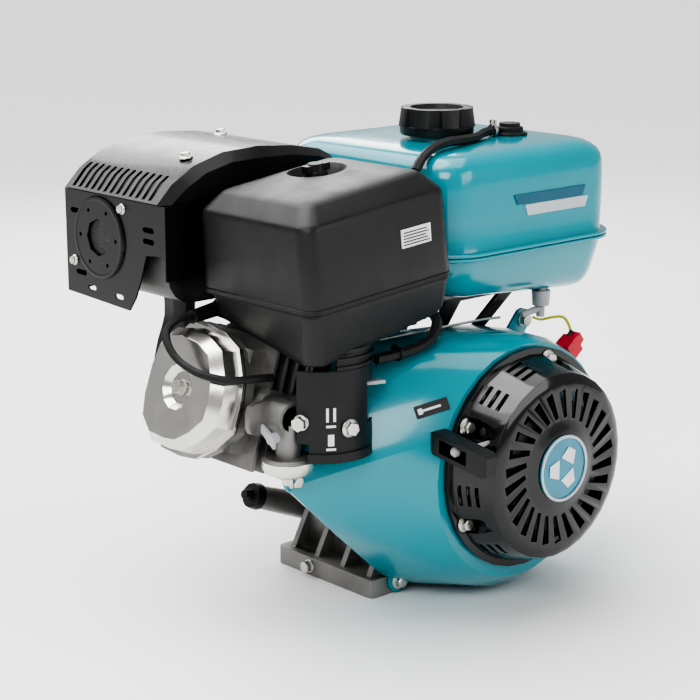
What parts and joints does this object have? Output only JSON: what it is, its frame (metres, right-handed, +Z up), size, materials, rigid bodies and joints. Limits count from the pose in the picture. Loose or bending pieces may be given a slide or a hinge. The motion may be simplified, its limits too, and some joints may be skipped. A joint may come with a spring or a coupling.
{
  "type": "small gasoline engine",
  "caption": "Air-cooled single-cylinder gasoline engine with rope starter, fuel tank, air cleaner and muffler, on a cast crankcase with a straight keyed output shaft.",
  "frame": {"origin": "under the middle of the engine, in the plane of the feet", "axes": "+Z up, +Y along the output shaft and out of the engine, -X towards the cylinder head"},
  "size_m": [0.459, 0.42, 0.431],
  "materials": {
    "cast_alloy": "fine sand cast",
    "zinc_steel": "zinc plated",
    "dark_steel": "oiled",
    "pressed_steel": "satin plated",
    "black_rubber": "matte",
    "black_plastic": "fine grain",
    "black_gloss_plastic": "gloss",
    "grey_plastic": "smooth",
    "red_plastic": "gloss",
    "teal_paint": "gloss",
    "badge_plastic": "gloss",
    "black_paint": "semi gloss",
    "filter_foam": "open cell",
    "rope_fibre": "braided",
    "yellow_wire": "smooth"
  },
  "bodies": {
    "engine_body": {"crankcase_block": "cast_alloy", "side_cover": "cast_alloy", "head_gasket": "dark_steel", "cylinder_head": "cast_alloy", "valve_cover_gasket": "black_rubber", "valve_cover": "pressed_steel", "valve_cover_bolt": "zinc_steel", "spark_plug": "zinc_steel", "spark_plug_cap": "black_rubber", "ignition_lead": "black_rubber", "ignition_coil": "dark_steel", "blower_housing": "teal_paint", "recoil_cover": "black_gloss_plastic", "recoil_badge": "badge_plastic", "fuel_tank_upper": "teal_paint", "fuel_tank_lower": "teal_paint", "tank_breather_valve": "black_rubber", "breather_hose": "black_rubber", "hose_clip": "zinc_steel", "fuel_outlet": "grey_plastic", "tank_bracket": "black_paint", "muffler_body": "dark_steel", "muffler_guard_top": "black_paint", "muffler_guard_panel": "black_paint", "spark_arrester": "dark_steel", "exhaust_pipe": "dark_steel", "air_cleaner_base": "black_plastic", "air_filter_element": "filter_foam", "carburetor": "cast_alloy", "float_bowl": "pressed_steel", "bowl_bolt": "zinc_steel", "control_cover": "black_plastic", "control_nut_left": "zinc_steel", "control_bracket": "black_paint", "governor_rod": "zinc_steel", "wiring_sleeve": "black_rubber", "stop_switch": "red_plastic", "ground_wire": "yellow_wire", "oil_drain_plug": "zinc_steel", "shroud_bolt_top": "zinc_steel"},
    "crank": {"crankshaft": "zinc_steel", "flywheel": "cast_alloy", "cooling_fan": "black_plastic", "starter_cup": "dark_steel", "flywheel_nut": "zinc_steel"},
    "camshaft_body": {"camshaft": "dark_steel"},
    "piston_body": {"piston": "cast_alloy"},
    "starter_pull": {"starter_handle": "black_plastic", "rope_knot": "rope_fibre", "starter_rope": "rope_fibre"},
    "reel": {"recoil_reel": "black_plastic"},
    "strainer": {"fuel_strainer": "grey_plastic"},
    "cap": {"fuel_cap": "black_plastic"},
    "cleaner_cover": {"air_cleaner_cover": "black_plastic"},
    "cleaner_knob": {"air_cleaner_knob": "black_plastic"},
    "choke": {"choke_lever": "grey_plastic"},
    "fuel_valve": {"fuel_valve_lever": "grey_plastic"},
    "throttle": {"throttle_lever": "dark_steel"},
    "switch_rocker": {"stop_switch_rocker": "red_plastic"},
    "dipstick": {"oil_dipstick": "black_plastic"}
  },
  "joints": [
    {"name": "crank_spin", "type": "hinge", "parent": "engine_body", "child": "crank", "pos_m": [0.055, 0, 0.132], "axis": [0, 1, 0], "continuous": true},
    {"name": "cam_spin", "type": "hinge", "parent": "engine_body", "child": "camshaft_body", "pos_m": [0.087, 0, 0.075], "axis": [0, 1, 0], "continuous": true},
    {"name": "piston_stroke", "type": "slide", "parent": "engine_body", "child": "piston_body", "axis": [-0.9563, 0, 0.2924], "range_m": [-0.064, 0]},
    {"name": "starter_pull_out", "type": "slide", "parent": "engine_body", "child": "starter_pull", "axis": [-1, 0, 0], "range_m": [0, 0.5], "stiffness_N_per_m": 15},
    {"name": "reel_spin", "type": "hinge", "parent": "engine_body", "child": "reel", "pos_m": [0.055, 0, 0.132], "axis": [0, -1, 0], "range_deg": [0, 850]},
    {"name": "strainer_lift", "type": "slide", "parent": "engine_body", "child": "strainer", "axis": [0, 0, 1], "range_m": [0, 0.085]},
    {"name": "cap_turn", "type": "hinge", "parent": "strainer", "child": "cap", "pos_m": [0.088, 0.006, 0.42], "axis": [0, 0, 1], "range_deg": [0, 90]},
    {"name": "cleaner_cover_lift", "type": "slide", "parent": "engine_body", "child": "cleaner_cover", "axis": [-0.0872, 0, 0.9962], "range_m": [0, 0.12]},
    {"name": "cleaner_knob_turn", "type": "hinge", "parent": "cleaner_cover", "child": "cleaner_knob", "pos_m": [-0.08323, -0.019, 0.38846], "axis": [-0.0872, 0, 0.9962], "continuous": true},
    {"name": "choke_turn", "type": "hinge", "parent": "engine_body", "child": "choke", "pos_m": [-0.111, -0.094, 0.219], "axis": [0, 0, 1], "range_deg": [-35, 0]},
    {"name": "fuel_valve_turn", "type": "hinge", "parent": "engine_body", "child": "fuel_valve", "pos_m": [-0.186, -0.076, 0.181], "axis": [1, 0, 0], "range_deg": [-90, 0]},
    {"name": "throttle_turn", "type": "hinge", "parent": "engine_body", "child": "throttle", "pos_m": [-0.041, -0.078, 0.262], "axis": [0, 0, 1], "range_deg": [-35, 20]},
    {"name": "switch_rock", "type": "hinge", "parent": "engine_body", "child": "switch_rocker", "pos_m": [0.16907, -0.101, 0.21488], "axis": [0, 1, 0], "range_deg": [-2.5, 2.5]},
    {"name": "dipstick_pull", "type": "slide", "parent": "engine_body", "child": "dipstick", "axis": [-0.9345, 0, 0.356], "range_m": [0, 0.055]}
  ],
  "couplings": [
    {"joint": "cam_spin", "follows": "crank_spin", "ratio": -0.5},
    {"joint": "reel_spin", "follows": "starter_pull_out", "rad_per_m": 29.412}
  ]
}
